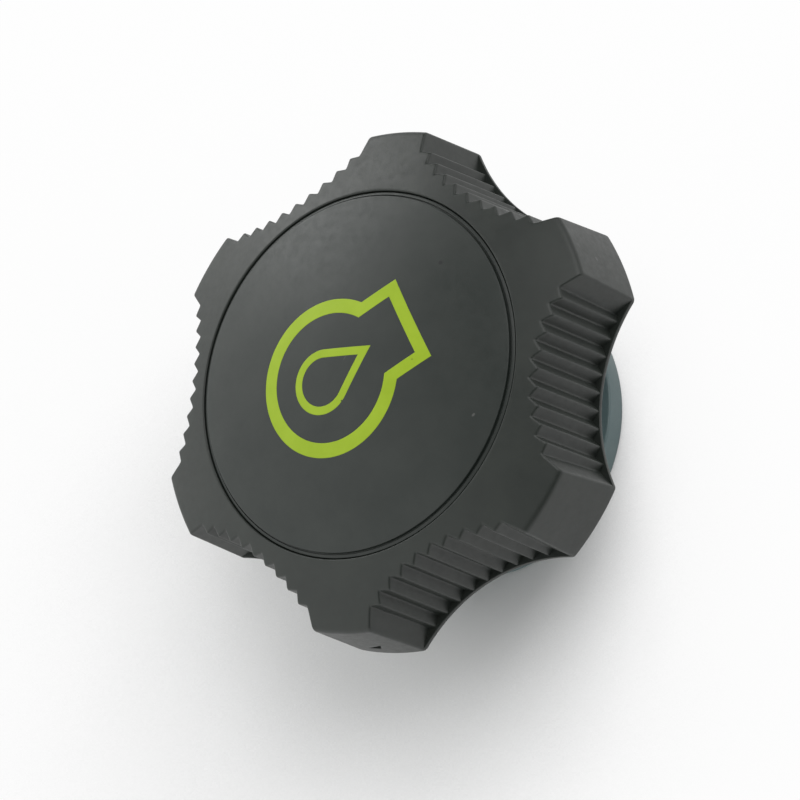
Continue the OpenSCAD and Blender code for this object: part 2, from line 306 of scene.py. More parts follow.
def fitted(piece, material, slot, *nodes, sharp_deg=35):
    """Gives a piece its finish and shading, and ties it to the frame in place of its CAD nodes."""
    piece.data.materials.clear()
    piece.data.materials.append(material)
    piece.data.polygons.foreach_set("material_index", [0] * len(piece.data.polygons))
    piece.data.polygons.foreach_set("use_smooth", [True] * len(piece.data.polygons))
    piece.data.set_sharp_from_angle(angle=math.radians(sharp_deg))
    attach(piece, "root")
    if nodes:
        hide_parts(*nodes)


def thread_ridge(name, radius, pitch, turns, from_z, bulge):
    """A round helical ridge, swept along a spiral by a Geometry Nodes tree and kept as a plain mesh."""
    tree = bpy.data.node_groups.new("thread_ridge", "GeometryNodeTree")
    sockets = tree.interface
    sockets.new_socket("Start", in_out="INPUT", socket_type="NodeSocketGeometry")
    names = ("Radius", "Turns", "Rise", "Start height", "Bulge")
    inputs = [sockets.new_socket(n, in_out="INPUT", socket_type="NodeSocketFloat") for n in names]
    sockets.new_socket("Ridge", in_out="OUTPUT", socket_type="NodeSocketGeometry")
    nodes, link = tree.nodes, tree.links.new
    given = nodes.new("NodeGroupInput")
    kept = nodes.new("NodeGroupOutput")
    path = nodes.new("GeometryNodeCurveSpiral")
    path.inputs["Resolution"].default_value = 72
    ring = nodes.new("GeometryNodeCurvePrimitiveCircle")
    ring.inputs["Resolution"].default_value = 14
    along = nodes.new("GeometryNodeSplineParameter")
    taper = nodes.new("ShaderNodeFloatCurve")
    for at, high in ((0.03, 0.55), (0.08, 1.0), (0.92, 1.0), (0.97, 0.55)):
        taper.mapping.curves[0].points.new(at, high)
    taper.mapping.curves[0].points[0].location = (0.0, 0.05)
    taper.mapping.curves[0].points[-1].location = (1.0, 0.05)
    taper.mapping.update()
    thick = nodes.new("GeometryNodeSetCurveRadius")
    sweep = nodes.new("GeometryNodeCurveToMesh")
    sweep.inputs["Fill Caps"].default_value = True
    lift = nodes.new("ShaderNodeCombineXYZ")
    move = nodes.new("GeometryNodeTransform")
    link(given.outputs["Radius"], path.inputs["Start Radius"])
    link(given.outputs["Radius"], path.inputs["End Radius"])
    link(given.outputs["Turns"], path.inputs["Rotations"])
    link(given.outputs["Rise"], path.inputs["Height"])
    link(given.outputs["Bulge"], ring.inputs["Radius"])
    link(along.outputs["Factor"], taper.inputs["Value"])
    link(path.outputs[0], thick.inputs["Curve"])
    link(taper.outputs[0], thick.inputs["Radius"])
    link(thick.outputs[0], sweep.inputs["Curve"])
    link(ring.outputs[0], sweep.inputs["Profile Curve"])
    link(given.outputs["Start height"], lift.inputs["Z"])
    link(sweep.outputs[0], move.inputs["Geometry"])
    link(lift.outputs[0], move.inputs["Translation"])
    real = nodes.new("GeometryNodeRealizeInstances")
    finish = nodes.new("GeometryNodeSetMaterial")
    link(move.outputs[0], real.inputs[0])
    link(real.outputs[0], finish.inputs["Geometry"])
    link(finish.outputs[0], kept.inputs[0])
    ridge = bpy.data.objects.new(name, bpy.data.meshes.new(name))
    bpy.context.scene.collection.objects.link(ridge)
    step = ridge.modifiers.new("thread_ridge", "NODES")
    step.node_group = tree
    values = (radius * MM, turns, turns * pitch * MM, from_z * MM, bulge * MM)
    for socket, value in zip(inputs, values):
        step[socket.identifier] = value
    return plain(ridge)


closure = turned(
    "closure_body",
    rounded(
        [
            (0, closure_depth, 0),
            (closure_seat_r, closure_depth, 0.3),
            (closure_seat_r, closure_seat_z, 0),
            (closure_thread_r, closure_seat_z, 0.15),
            (closure_thread_r, mouth_chamfer, 0.3),
            (closure_thread_r + mouth_chamfer, 0, 0.2),
            (bead_r, 0, bead_round),
            (bead_r, bead_h, bead_round),
            (closure_skirt_r, bead_h, 0.35),
            (closure_skirt_r, closure_top_z, 0.5),
            (0, closure_top_z, 0),
        ]
    ),
)
boss_corners = [(0, boss_foot_z, 0), (boss_r, boss_foot_z, 0), (boss_r, boss_top_z, 0.3), (0, boss_top_z, 0)]
boss = turned("boss", rounded(boss_corners), fine_steps, screw_at_r)
worked(closure, set_round_axis(boss, screw_count, screw_first_deg), "UNION")
pilot_outline = [(0, pilot_bottom_z), (pilot_r, pilot_bottom_z), (pilot_r, pilot_end_z), (0, pilot_end_z)]
pilot = turned("pilot", pilot_outline, 32, screw_at_r)
worked(closure, set_round_axis(pilot, screw_count, screw_first_deg))
ridge_at_r = closure_thread_r + 0.15
ridge = thread_ridge("ridge", ridge_at_r, thread_pitch, thread_turns, thread_from_z, thread_bulge)
worked(closure, ridge, "UNION")
closure_finish = moulded_finish(
    "closure_blue_grey",
    closure_grey,
    closure_grey_pale,
    patch=9,
    rough=0.4,
    spread=0.06,
    grain=0.22,
    relief=0.004,
    polish=0.05,
)
fitted(closure, closure_finish, "closure_grey", "closure")

# The gasket: a flat ring of black oil-resistant rubber, pressed into the undercut at the top of the thread.
# It is cut from sheet, so its faces are plain and its edges are a little soft.
gasket_r = 18.45
gasket_hole_r = 12.95
gasket_soft = 0.25
rubber_black = (0.018, 0.018, 0.019)
rubber_black_pale = (0.028, 0.028, 0.029)
gasket = turned(
    "gasket_ring",
    rounded(
        [
            (15.7, closure_seat_z, 0),
            (gasket_r, closure_seat_z, gasket_soft),
            (gasket_r, closure_depth, gasket_soft),
            (gasket_hole_r, closure_depth, gasket_soft),
            (gasket_hole_r, closure_seat_z, gasket_soft),
            (15.6, closure_seat_z, 0),
        ]
    ),
)
gasket_finish = moulded_finish(
    "gasket_rubber",
    rubber_black,
    rubber_black_pale,
    patch=5,
    rough=0.62,
    spread=0.08,
    grain=0.3,
    relief=0.006,
)
fitted(gasket, gasket_finish, "gasket_rubber", "gasket")

# The grip: one moulding in black glass-filled nylon with a fine spark grain, six lobes and toothed hollows.
# Its crowned face, drafted sides and plain rear edge come from the tool; ribs and a hub stiffen it behind.
rear_z = 19.4
grip_r = 37.5
crown_r = 94.0
crown_z = 40.6
crown_c = crown_z - crown_r
lobe_draft = math.tan(math.radians(2.1))
lobe_round = 0.6
edge_round = 0.3
waist_r = 30.4
hollow_r = 30.8
hollow_x = waist_r + hollow_r
tooth_half_count = 4.5
tooth_pitch = 2.62
tooth_step = 2 * math.asin(tooth_pitch / (2 * hollow_r))
tooth_depth = 1.15
tooth_lean = math.tan(math.radians(2.9))
tooth_softness = 0.95
flank_lean = 0.0306
foot_round = 0.15
serration_top = crown_c + math.sqrt(crown_r**2 - waist_r**2)
serration_z = 20.3
rear_hollow_r = 26.5
rear_hollow_x = 31.2 + rear_hollow_r
lobe_half_w = 4.8
recess_r = 27.0
recess_round = 0.25
ledge_z = 34.41
web_top_z = 31.21
web_z = 28.21
pocket_r = 20.8
hub_r = 23.4
hub_end_z = 20.4
rib_half = 0.9
rib_z = 21.9
rib_out_r = 26.86
channel_z = 31.31
core_r = 34.5
core_hollow_r = 34.35
rear_round = 0.4
behind_z = 18
web_cut_z = (27, 32.4)
boss_seat_r = 3.65
screw_hole_r = 2
peg_count = 3
peg_at_r = 17.6
peg_first_deg = 30
peg_hole_r = 1.9
nick_y = (-38.5, -37.0)
nick_xz = ((-2.2, 22.8), (0.1, 22.75), (1.3, 24.8))
grip_black = (0.0135, 0.0175, 0.0145)
grip_black_pale = (0.019, 0.0235, 0.0195)


def rounded_joint(a, b, radius):
    """The joint of two faces given by their distances, positive outside, with a rounded edge."""
    inside = np.minimum(np.maximum(a, b), -radius)
    return inside + np.hypot(np.maximum(a + radius, 0), np.maximum(b + radius, 0))


def crown_height(r):
    """The height of the crowned face at a radius."""
    return crown_c + np.sqrt(crown_r**2 - r**2)


def lobe_side(x, y, z):
    """Distance out of the drafted lobe wall."""
    return np.hypot(x, y) - (grip_r - (z - rear_z) * lobe_draft)


front_r = grip_r - (crown_height(grip_r) - rear_z) * lobe_draft
lobe_corner_a = math.pi / 6 - math.asin(lobe_half_w / front_r)
lobe_corner = front_r * np.array((math.cos(lobe_corner_a), math.sin(lobe_corner_a)))
groove_a = tooth_half_count * tooth_step
groove_r = hollow_r + tooth_depth
last_groove = np.array((hollow_x - groove_r * math.cos(groove_a), groove_r * math.sin(groove_a)))
flank_way = (lobe_corner - last_groove) / np.linalg.norm(lobe_corner - last_groove)
last_crest = tooth_half_count - 0.5
crest_a = last_crest * tooth_step
last_side = np.array((hollow_x - hollow_r * math.cos(crest_a), hollow_r * math.sin(crest_a))) - last_groove
side_cover = flank_lean / (last_side[0] * flank_way[1] - last_side[1] * flank_way[0])
tooth_slant = math.cos(math.atan(2 * tooth_depth / tooth_pitch))


def toothed_wall(x, y, z):
    """Distance into the open hollow on +X from its toothed wall and the flank of the lobe beside it."""
    x = x - (serration_top - z) * tooth_lean
    y = np.abs(y)
    steps = np.arctan2(y, hollow_x - x) / tooth_step
    wave = np.arccos(tooth_softness * np.cos(2 * np.pi * steps)) / np.pi
    past = steps - tooth_half_count + 0.25
    wave = np.where(past > 0, 0.5 + 1.9 * past, wave)
    depth = tooth_depth * (0.5 + 1.12 * (wave - 0.5))
    teeth = (hollow_r + depth - np.hypot(hollow_x - x, y)) * tooth_slant
    flank = (x - last_groove[0]) * flank_way[1] - (y - last_groove[1]) * flank_way[0]
    flank -= (serration_top - z) * flank_lean
    return -rounded_joint(-teeth, -flank, foot_round)


def grip_skin(x, y, z):
    """The front of the grip: crown, lobe walls and toothed hollow with their rounded edges."""
    crown = np.sqrt(x**2 + y**2 + (z - crown_c) ** 2) - crown_r
    lobe = rounded_joint(crown, lobe_side(x, y, z), lobe_round)
    return rounded_joint(lobe, toothed_wall(x, y, z), edge_round)


def sharp_side(x, y, z):
    """The grip's side before its edges are rounded."""
    return np.maximum(lobe_side(x, y, z), toothed_wall(x, y, z))


def rear_edge(x, y, z):
    """The plain edge behind the teeth, whose hollows are plain arcs."""
    hollow = rear_hollow_r - np.hypot(x - rear_hollow_x, y)
    return rounded_joint(lobe_side(x, y, z), hollow, edge_round)


def leaving(face, across, up, angle, slope):
    """How far across and up a ray from inside the moulding comes out through a face, by halving."""
    longest, halvings = 16.0, 44
    near, far = np.zeros_like(across), np.full_like(across, longest)
    for _ in range(halvings):
        mid = 0.5 * (near + far)
        r = across + mid * math.cos(slope)
        out = face(r * np.cos(angle), r * np.sin(angle), up + mid * math.sin(slope)) > 0
        far = np.where(out, mid, far)
        near = np.where(out, near, mid)
    return across + far * math.cos(slope), up + far * math.sin(slope)


half_tooth = (0, 0.06, 0.14, 0.26, 0.42, 0.58, 0.74, 0.86, 0.94)
tooth_at = [(k + f) / 2 for k in range(int(2 * tooth_half_count)) for f in half_tooth] + [tooth_half_count]
flank_at = np.array((0.03, 0.07, 0.14, 0.28, 0.44, 0.6, 0.75, 0.86, 0.92, 0.945, 0.965, 0.985, 1.0))
lobe_at = np.array((0.012, 0.026, 0.044, 0.07, 0.13, 0.25, 0.4, 0.55, 0.7, 0.85, 1.0))


def column_angles(z):
    """The angle of each column of the sixth on +X at the heights given.

    The columns follow the teeth, the flank's foot and the lobe's corner as they lean.
    """
    z = z[len(z) // 2 :]
    lean = (serration_top - z) * tooth_lean
    cover = (serration_top - z) * side_cover
    teeth_end = len(tooth_at)
    flank_end = teeth_end + len(flank_at)
    steps = np.array(tooth_at)
    steps = steps - np.maximum(steps - last_crest, 0) * cover[:teeth_end]
    r, a = hollow_r + tooth_depth * (1 - np.abs(1 - 2 * (steps % 1))), steps * tooth_step
    teeth = np.arctan2(r * np.sin(a), hollow_x + lean[:teeth_end] - r * np.cos(a))

    def along_flank(part, share):
        """The angle of a point on the flank, a share of the way from its foot to the lobe's corner."""
        x = last_groove[0] + lean[part] + cover[part] * last_side[0]
        y = last_groove[1] + cover[part] * last_side[1]
        along = x * flank_way[0] + y * flank_way[1]
        reach = grip_r - (z[part] - rear_z) * lobe_draft
        run = share * (-along + np.sqrt(along**2 - x**2 - y**2 + reach**2))
        return np.arctan2(y + run * flank_way[1], x + run * flank_way[0])

    flank = along_flank(slice(teeth_end, flank_end), flank_at)
    edge = along_flank(slice(flank_end, None), 1)
    lobe = edge + lobe_at * (math.pi / 6 - edge)
    side = np.concatenate((teeth, flank, lobe))
    return np.concatenate((-side[:0:-1], side))


columns = 2 * (len(tooth_at) + len(flank_at) + len(lobe_at)) - 1
flat = np.ones(columns)
inside_r = 25.0
rim_z = 36.0 * flat
for _ in range(5):
    rim_a = column_angles(rim_z)
    rim_r, _z = leaving(sharp_side, inside_r * flat, rim_z, rim_a, 0.0)
    rim_z = crown_height(rim_r)
fan_in = np.minimum(3, rim_r - recess_r - recess_round - 0.35)
fan_r, fan_z = rim_r - fan_in, rim_z - fan_in
fan_slopes = (90, 78, 68, 61, 56, 52.5, 50, 48, 46.4, 45, 43.5, 41.8, 39.5, 36.5, 33, 28, 21, 12, 0)
rim_a = column_angles(rim_z - fan_in / 2)
grip_rows = [(pocket_r * flat, web_top_z * flat, rim_a), (pocket_r * flat, ledge_z * flat, rim_a)]
grip_rows.append((recess_r * flat, ledge_z * flat, rim_a))
recess_top = crown_height(recess_r + recess_round)
for a in np.radians((180, 157, 135, 112, 92)):
    r = recess_r + recess_round * (1 + math.cos(a))
    grip_rows.append((r * flat, (recess_top - recess_round * (1 - math.sin(a))) * flat, rim_a))
for share in (0.04, 0.35, 0.68):
    r = recess_r + recess_round + share * (fan_r - recess_r - recess_round)
    grip_rows.append((r, crown_height(r), rim_a))
for slope in np.radians(fan_slopes):
    grip_rows.append((*leaving(grip_skin, fan_r, fan_z, rim_a, slope), rim_a))
for share in (0.25, 0.5, 0.75, 0.92, 1.0):
    z = fan_z + share * (serration_z + 0.001 - fan_z)
    a = column_angles(z)
    grip_rows.append((*leaving(grip_skin, inside_r * flat, z, a, 0.0), a))
foot_r, _z, foot_a = grip_rows[-1]
for slope in np.radians((60, 30, 0)):
    z = serration_z - foot_round * (1 - math.sin(slope))
    r, _z = leaving(rear_edge, inside_r * flat, z * flat, foot_a, 0.0)
    shelf = np.clip((r - foot_r) / (2 * foot_round), 0, 1)
    grip_rows.append((r - foot_round * (1 - math.cos(slope)) * shelf, z * flat, foot_a))
for slope in np.radians((0, 22, 45, 68, 90)):
    z = rear_z + rear_round * (1 - math.sin(slope))
    r, _z = leaving(rear_edge, inside_r * flat, z * flat, foot_a, 0.0)
    grip_rows.append((r - rear_round * (1 - math.cos(slope)), z * flat, foot_a))
rear_land = 1.0
grip_rows.append((grip_rows[-1][0] - rear_land, rear_z * flat, foot_a))
grip_points = [(0, 0, web_top_z)]
for r, z, a in grip_rows:
    grip_points += list(np.stack((r * np.cos(a), r * np.sin(a), z), axis=1))
grip_points.append((0, 0, rear_z))
grip_faces = []
for c in range(columns - 1):
    grip_faces.append((0, 1 + c, 2 + c))
    for row in range(len(grip_rows) - 1):
        k = 1 + row * columns + c
        grip_faces.append((k, k + columns, k + columns + 1, k + 1))
    k = 1 + (len(grip_rows) - 1) * columns + c
    grip_faces.append((k, len(grip_points) - 1, k + 1))
grip = solid("grip_moulding", grip_points, grip_faces)
set_round_axis(grip, 6, 0, weld_mm=0.001)
outward(grip.data)


def walled(name, inner, outer, low, high, ring=False):
    """A closed solid between two runs of points in plan, from one height to another."""
    n = len(inner)
    points = [(*p, z) for z in (low, high) for run in (inner, outer) for p in run]
    inner_low, outer_low, inner_high, outer_high = (range(k * n, (k + 1) * n) for k in range(4))
    faces = []
    for k in range(n if ring else n - 1):
        m = (k + 1) % n
        faces.append((inner_low[k], inner_low[m], outer_low[m], outer_low[k]))
        faces.append((inner_high[k], inner_high[m], outer_high[m], outer_high[k]))
        faces.append((inner_low[k], inner_low[m], inner_high[m], inner_high[k]))
        faces.append((outer_low[k], outer_low[m], outer_high[m], outer_high[k]))
    if not ring:
        for k in (0, n - 1):
            faces.append((inner_low[k], outer_low[k], outer_high[k], inner_high[k]))
    return solid(name, points, faces)


def core_wall(a):
    """How far out the cores behind the lobes reach at an angle from the middle of a hollow."""
    a = (a + math.pi / 6) % (math.pi / 3) - math.pi / 6
    under = np.maximum(core_hollow_r**2 - (hollow_x * np.sin(a)) ** 2, 0)
    behind = hollow_x * np.cos(a) - np.sqrt(under)
    return np.where(hollow_x * np.abs(np.sin(a)) < core_hollow_r, np.minimum(behind, core_r), core_r)


ring_a = np.radians(np.arange(0, 360, 1.0))
ring_way = np.stack((np.cos(ring_a), np.sin(ring_a)), axis=1)
channel_out = core_wall(ring_a)[:, None] * ring_way
worked(grip, walled("channel", hub_r * ring_way, channel_out, behind_z, rib_z, ring=True))
cell_at = np.linspace(0, 1, 28)


def cell_edge(r_of, start, stop):
    """Points in plan between two angles, at the radius that a function gives for each angle."""
    a = start + cell_at * (stop - start)
    r = r_of(a)
    return np.stack((r * np.cos(a), r * np.sin(a)), axis=1)


for side in (1, -1):
    near = side * np.array((math.asin(rib_half / hub_r), math.pi / 6 - math.asin(rib_half / hub_r)))
    wide = side * np.array((math.asin(rib_half / rib_out_r), math.pi / 6 - math.asin(rib_half / core_r)))
    inner = cell_edge(lambda a: hub_r + 0 * a, *near)
    outer = cell_edge(core_wall, *wide)
    cell = walled("cell", inner, outer, rib_z - 1, channel_z)
    worked(grip, set_round_axis(cell, 6, 0))
bore = [(0, behind_z), (hub_r + 1, behind_z), (hub_r + 1, hub_end_z)]
bore += [(pocket_r, hub_end_z), (pocket_r, web_z), (0, web_z)]
worked(grip, turned("bore", bore))
low, high = web_cut_z
seat = [(0, low), (boss_seat_r, low), (boss_seat_r, boss_top_z)]
seat += [(screw_hole_r, boss_top_z), (screw_hole_r, high), (0, high)]
worked(grip, set_round_axis(turned("seat", seat, fine_steps, screw_at_r), screw_count, screw_first_deg))
peg_hole = turned("peg_hole", [(0, low), (peg_hole_r, low), (peg_hole_r, high), (0, high)], 32, peg_at_r)
worked(grip, set_round_axis(peg_hole, peg_count, peg_first_deg))
nick_at = [(x, y, z) for y in nick_y for x, z in nick_xz]
nick_faces = [(0, 1, 2), (3, 5, 4), (0, 3, 4, 1), (1, 4, 5, 2), (2, 5, 3, 0)]
worked(grip, solid("nick", nick_at, nick_faces))
grip_finish = moulded_finish(
    "grip_nylon",
    grip_black,
    grip_black_pale,
    patch=7,
    rough=0.43,
    spread=0.06,
    grain=0.16,
    relief=0.006,
    polish=0.05,
)
mark(grip_finish, (32.7, 17.8, 27.2), (0.35, 0.35, 0.35), (0.07, 0.07, 0.068), strength=0.7)
fitted(grip, grip_finish, "grip_black", "grip", sharp_deg=32)

# The cover screws: three zinc-plated thread-forming screws with a crossed head, driven from the face side.
# They hold the closure to the grip and are hidden once the disc is snapped in.
head_r = 3.4
head_h = 2.2
head_top_z = web_top_z + head_h
cross_half_w = 0.45
cross_half_l = 1.8
cross_depth = 1.2
screw_shank_r = 1.45
screw_l = 8.5
screw_end_z = web_top_z - screw_l
screw_tip_r = 0.8
screw_tip_l = 1.2
screw_pitch = 1.35
screw_turns = 5
screw_bulge = 0.3
zinc = (0.62, 0.62, 0.6)
zinc_dull = (0.5, 0.51, 0.52)
screw_outline = rounded(
    [
        (0, screw_end_z, 0),
        (screw_tip_r, screw_end_z, 0),
        (screw_shank_r, screw_end_z + screw_tip_l, 0.2),
        (screw_shank_r, web_top_z, 0.1),
        (head_r, web_top_z, 0.15),
        (head_r, head_top_z, 0.8),
        (0, head_top_z, 0),
    ]
)
screws = turned("cover_screws_set", screw_outline, fine_steps, screw_at_r)
for wide, long in ((cross_half_w, cross_half_l), (cross_half_l, cross_half_w)):
    run = [(screw_at_r - wide, -long), (screw_at_r - wide, long)]
    far = [(screw_at_r + wide, -long), (screw_at_r + wide, long)]
    worked(screws, walled("cross", run, far, head_top_z - cross_depth, head_top_z + 1))
screw_from_z = screw_end_z + 0.9
screw_thread = thread_ridge("screw_thread", screw_shank_r, screw_pitch, screw_turns, screw_from_z, screw_bulge)
screw_thread.data.transform(Matrix.Translation((screw_at_r * MM, 0, 0)))
worked(screws, screw_thread, "UNION")
screw_finish = bpy.data.materials.new("screw_zinc")
screw_finish.use_nodes = True
screw_nodes, screw_link = screw_finish.node_tree.nodes, screw_finish.node_tree.links.new
screw_shader = screw_nodes["Principled BSDF"]
screw_shader.inputs["Metallic"].default_value = 1
screw_place = screw_nodes.new("ShaderNodeTexCoord")
screw_cloud = screw_nodes.new("ShaderNodeTexNoise")
screw_cloud.inputs["Scale"].default_value = 900
screw_tone = screw_nodes.new("ShaderNodeMix")
screw_tone.data_type = "RGBA"
screw_tone.inputs["A"].default_value = (*zinc, 1)
screw_tone.inputs["B"].default_value = (*zinc_dull, 1)
screw_gloss = screw_nodes.new("ShaderNodeMapRange")
screw_gloss.inputs["To Min"].default_value = 0.22
screw_gloss.inputs["To Max"].default_value = 0.42
screw_link(screw_place.outputs["Object"], screw_cloud.inputs["Vector"])
screw_link(screw_cloud.outputs["Fac"], screw_tone.inputs["Factor"])
screw_link(screw_tone.outputs["Result"], screw_shader.inputs["Base Color"])
screw_link(screw_cloud.outputs["Fac"], screw_gloss.inputs["Value"])
screw_link(screw_gloss.outputs["Result"], screw_shader.inputs["Roughness"])
set_round_axis(screws, screw_count, screw_first_deg, material=screw_finish)
fitted(screws, screw_finish, "screw_steel", "cover_screws")

# The face disc: a crowned cover moulded in the same black nylon, with a sunk band round its edge.
# Three pegs under it snap into the web, and it sits on a rim with a hairline gap to its recess.
disc_r = 26.88
plateau_r = 26.18
band_depth = 0.35
disc_t = 2.0
disc_rim_in = 24.88
peg_r = 1.8
peg_tip_r = 1.4
peg_end_z = 28.61
peg_top_z = 38.2
foot_groove_w = 0.22
foot_groove_depth = 0.22
disc_black = (0.0135, 0.0185, 0.0155)
disc_black_pale = (0.02, 0.025, 0.0215)


def crown_run(start, stop, below, steps):
    """Points along the crown, or a surface a given depth under it, between two radii."""
    runs = np.linspace(start, stop, steps)
    return [(r, crown_c + math.sqrt((crown_r - below) ** 2 - r * r), 0) for r in runs]


plateau_z = float(crown_height(plateau_r))
band_in_z = crown_run(plateau_r, plateau_r, band_depth, 1)[0][1]
band_out_z = crown_run(disc_r, disc_r, band_depth, 1)[0][1]
groove_r_out = plateau_r + foot_groove_w
groove_z = band_in_z - foot_groove_depth
disc_outline = rounded(
    crown_run(0, plateau_r - 0.4, 0, 36)
    + [(plateau_r, plateau_z, 0.07), (plateau_r, groove_z, 0.05)]
    + [(groove_r_out, groove_z, 0.05), (groove_r_out, band_in_z, 0.06)]
    + [(disc_r, band_out_z, 0.12), (disc_r, ledge_z, 0.1), (disc_rim_in, ledge_z, 0.1)]
    + crown_run(disc_rim_in, 0, disc_t, 12)
)
disc = turned("face_disc_cover", disc_outline, 240)
peg_outline = [(0, peg_end_z), (peg_tip_r, peg_end_z), (peg_r, peg_end_z + 0.8)]
peg_outline += [(peg_r, peg_top_z), (0, peg_top_z)]
peg = turned("peg", peg_outline, 32, peg_at_r)
worked(disc, set_round_axis(peg, peg_count, peg_first_deg), "UNION")

# The pictogram: a ring with a square neck and a drop, a second shot of lime green plastic in the disc.
# It fills a half-millimetre pocket and ends flush with the crowned face.
ring_x, ring_y = -1.76, -1.47
neck_turn = math.radians(33.7)
vessel_r = 11.63
vessel_line = 2.15
neck_reach = 15.4
neck_half_w = 6.88
neck_line = 1.9
drop_r = 4.81
drop_line = 1.24
drop_back = 1.22
drop_reach = 8.06
inlay_depth = 0.5
inlay_soft = 0.05
pocket_from_z = 37
lime =(0.3, 0.435, 0.012)
lime_pale = (0.335, 0.475, 0.02)


def vessel_edge(radius, half_w, reach, arc_steps=150, side_steps=14):
    """The outline of a ring with a square neck, as points that start and end the same way for any size."""
    mouth = math.asin(half_w / radius)
    arc = [mouth + k / arc_steps * (2 * math.pi - 2 * mouth) for k in range(arc_steps + 1)]
    points = [(radius * math.cos(a), radius * math.sin(a)) for a in arc]
    start = radius * math.cos(mouth)
    points += [(start + k / side_steps * (reach - start), -half_w) for k in range(1, side_steps + 1)]
    points += [(reach, -half_w + k / side_steps * 2 * half_w) for k in range(1, side_steps + 1)]
    points += [(reach - k / side_steps * (reach - start), half_w) for k in range(1, side_steps)]
    return np.array(points)


def drop_edge(radius, reach, arc_steps=72, side_steps=16):
    """The outline of a drop: a round end and the two straight sides to its point."""
    half = math.acos(radius / reach)
    arc = [half + k / arc_steps * (2 * math.pi - 2 * half) for k in range(arc_steps + 1)]
    points = [(radius * math.cos(a), radius * math.sin(a)) for a in arc]
    x, y = points[-1]
    points += [(x + k / side_steps * (reach - x), y * (1 - k / side_steps)) for k in range(1, side_steps + 1)]
    points += [(reach - k / side_steps * (reach - x), -y * k / side_steps) for k in range(1, side_steps)]
    return np.array(points) - np.array((drop_back, 0))


def on_face(points):
    """Turns and moves points of the pictogram to their place on the disc."""
    c, s = math.cos(neck_turn), math.sin(neck_turn)
    return points @ np.array(((c, s), (-s, c))) + np.array((ring_x, ring_y))


def inlay(name, outer, inner, rows=6):
    """A field of the second shot: its top follows the crown and its edges are a hair soft."""
    n = len(outer)
    shares = (0, 0.006, 0.02, *np.linspace(0.06, 0.94, rows), 0.98, 0.994, 1)
    width = np.linalg.norm(outer - inner, axis=1)
    points = []
    for share in shares:
        run = outer + share * (inner - outer)
        gap = 1 - np.clip(np.minimum(share, 1 - share) * width / inlay_soft, 0, 1)
        sunk = inlay_soft * (1 - np.sqrt(1 - gap**2))
        r = np.hypot(run[:, 0], run[:, 1])
        points += list(np.column_stack((run, crown_height(r) - sunk)))
    for share in (1, 0):
        run = outer + share * (inner - outer)
        r = np.hypot(run[:, 0], run[:, 1])
        points += list(np.column_stack((run, crown_height(r) - inlay_depth)))
    rings = len(shares) + 2
    faces = []
    for row in range(rings):
        for k in range(n):
            m = (k + 1) % n
            a, b = row * n, (row + 1) % rings * n
            faces.append((a + k, a + m, b + m, b + k))
    return solid(name, points, faces)


vessel_out = on_face(vessel_edge(vessel_r, neck_half_w, neck_reach))
vessel_in = on_face(vessel_edge(vessel_r - vessel_line, neck_half_w - neck_line, neck_reach - neck_line))
drop_out = on_face(drop_edge(drop_r, drop_reach + drop_back))
drop_small = (drop_r - drop_line) / drop_r
drop_in = on_face(drop_edge(drop_r - drop_line, (drop_reach + drop_back) * drop_small))
for name, out, inn in (("vessel_pocket", vessel_out, vessel_in), ("drop_pocket", drop_out, drop_in)):
    worked(disc, walled(name, inn, out, pocket_from_z, crown_z + 1, ring=True))
disc_finish = moulded_finish(
    "disc_nylon",
    disc_black,
    disc_black_pale,
    patch=8,
    rough=0.43,
    spread=0.06,
    grain=0.15,
    relief=0.005,
    polish=0.04,
)
mark(disc_finish, (0.8, 1.3, 40.58), (0.5, 0.07, 0.3), (0.07, 0.07, 0.07), turn_deg=63, strength=0.7)
mark(disc_finish, (21.9, -6.9, 37.75), (0.3, 0.18, 0.3), (0.1, 0.1, 0.095), turn_deg=50, strength=0.8)
mark(disc_finish, (13.9, 15.2, 38.32), (0.35, 0.35, 0.3), (0.003, 0.004, 0.004), strength=0.9)
fitted(disc, disc_finish, "disc_black", "face_disc", sharp_deg=30)
lime_finish = moulded_finish(
    "lime_shot",
    lime,
    lime_pale,
    patch=5,
    rough=0.42,
    spread=0.05,
    grain=0.15,
    relief=0.003,
    sheen=0.3,
)
mark(lime_finish, (11.94, 0.86, 39.83), (0.18, 0.14, 0.2), (0.13, 0.2, 0.01), strength=0.6)
mark(lime_finish, (1.05, -5.0, 40.46), (0.2, 0.12, 0.2), disc_black, turn_deg=-30, strength=0.9)
vessel = inlay("vessel_inlay", vessel_out, vessel_in)
fitted(vessel, lime_finish, "symbol_lime", "symbol_vessel", sharp_deg=50)
drop = inlay("drop_inlay", drop_out, drop_in)
fitted(drop, lime_finish, "symbol_lime", "symbol_drop", sharp_deg=50)

# The studio: a pale paper sheet that is white where it lies open. Near the cap an occlusion mask fades the
# white out, a painted shade laid over the lamps' real shadow.
# A large soft lamp stands above on the right and a small one behind. The room is bright on the left
# and in front and dark elsewhere, and the camera stands where the photograph's stood.
floor_pale = (0.65, 0.65, 0.65)
floor_half = 2.0
shade_way = (0.6, 0.75, 0.3)
shade_reach = 0.12
shade_full = 0.64
shade_none = 0.92
white_share = 0.97
floor = bpy.data.objects.new("floor_sheet", bpy.data.meshes.new("floor_sheet"))
floor_corners = [(floor_half * x, floor_half * y, 0) for x, y in ((-1, -1), (1, -1), (1, 1), (-1, 1))]
floor.data.from_pydata(floor_corners, [], [(0, 1, 2, 3)])
bpy.context.scene.collection.objects.link(floor)
floor_finish = bpy.data.materials.new("floor_paper")
floor_finish.use_nodes = True
floor_nodes, floor_link = floor_finish.node_tree.nodes, floor_finish.node_tree.links.new
floor_shader = floor_nodes["Principled BSDF"]
floor_shader.inputs["Base Color"].default_value = (*floor_pale, 1)
floor_shader.inputs["Roughness"].default_value = 0.8
floor_shader.inputs["Specular IOR Level"].default_value = 0.2
